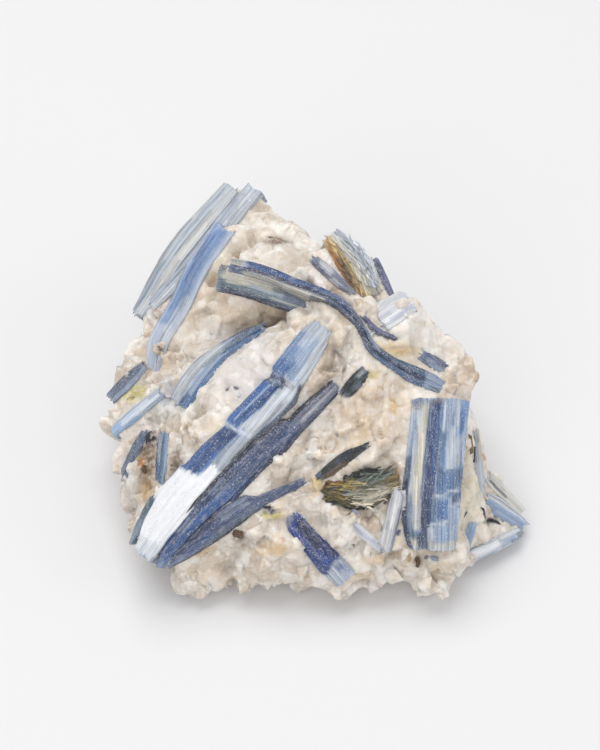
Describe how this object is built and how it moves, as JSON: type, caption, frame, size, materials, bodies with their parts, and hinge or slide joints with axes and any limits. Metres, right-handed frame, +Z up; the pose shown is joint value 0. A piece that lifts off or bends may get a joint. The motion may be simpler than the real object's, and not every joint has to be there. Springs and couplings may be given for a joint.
{
  "type": "kyanite blade cluster",
  "caption": "Hand specimen of blue kyanite blades grown through a lump of granular white quartz, resting on a flat broken base.",
  "frame": {"origin": "The middle of the specimen's bounding box, at the level of the flat base that it rests on.", "axes": "+Z is up. +X runs to the right across the show face. +Y runs towards the back, away from the foot of the show face."},
  "size_m": [0.0964, 0.0932, 0.0543],
  "materials": {
    "quartz": "granular, slightly translucent",
    "deep_blue": "vitreous on the cleavage",
    "mid_blue": "vitreous on the cleavage",
    "pale_blue": "pearly on the cleavage",
    "silver_blue": "pearly on the cleavage",
    "steel_blue": "satin, striated",
    "dark_mica": "satin, fibrous",
    "rusty_fibre": "matt, fibrous, iron stained"
  },
  "bodies": {
    "root": {"quartz_matrix": "quartz", "broad_blade": "mid_blue", "groove_blade": "deep_blue", "under_blade": "steel_blue", "bent_blade": "deep_blue", "grey_blade": "steel_blue", "lilac_sliver": "deep_blue", "crest_shard": "silver_blue", "crest_stub": "steel_blue", "rusty_bundle": "rusty_fibre", "grey_fragment": "steel_blue", "ridge_sliver": "deep_blue", "dark_speck": "dark_mica", "block_blade": "mid_blue", "pale_shard": "silver_blue", "deep_stub": "deep_blue", "mica_lens": "dark_mica", "mica_tail": "dark_mica", "lavender_sliver": "silver_blue", "steel_blade": "steel_blue", "long_back_blade": "pale_blue", "inner_back_blade": "steel_blue", "outer_back_blade": "pale_blue", "pale_side_blade": "silver_blue", "upright_blade": "mid_blue", "dark_side_blade": "steel_blue", "edge_blade": "steel_blue", "low_left_blade": "steel_blue", "spur_upper_blade": "silver_blue", "spur_middle_blade": "pale_blue", "spur_lower_blade": "silver_blue", "spur_upright": "pale_blue", "right_edge_blade": "silver_blue", "rear_long_blade": "mid_blue", "rear_top_blade": "steel_blue", "rear_short_blade": "pale_blue", "rear_side_blade": "steel_blue", "rear_left_blade": "mid_blue"}
  },
  "joints": []
}
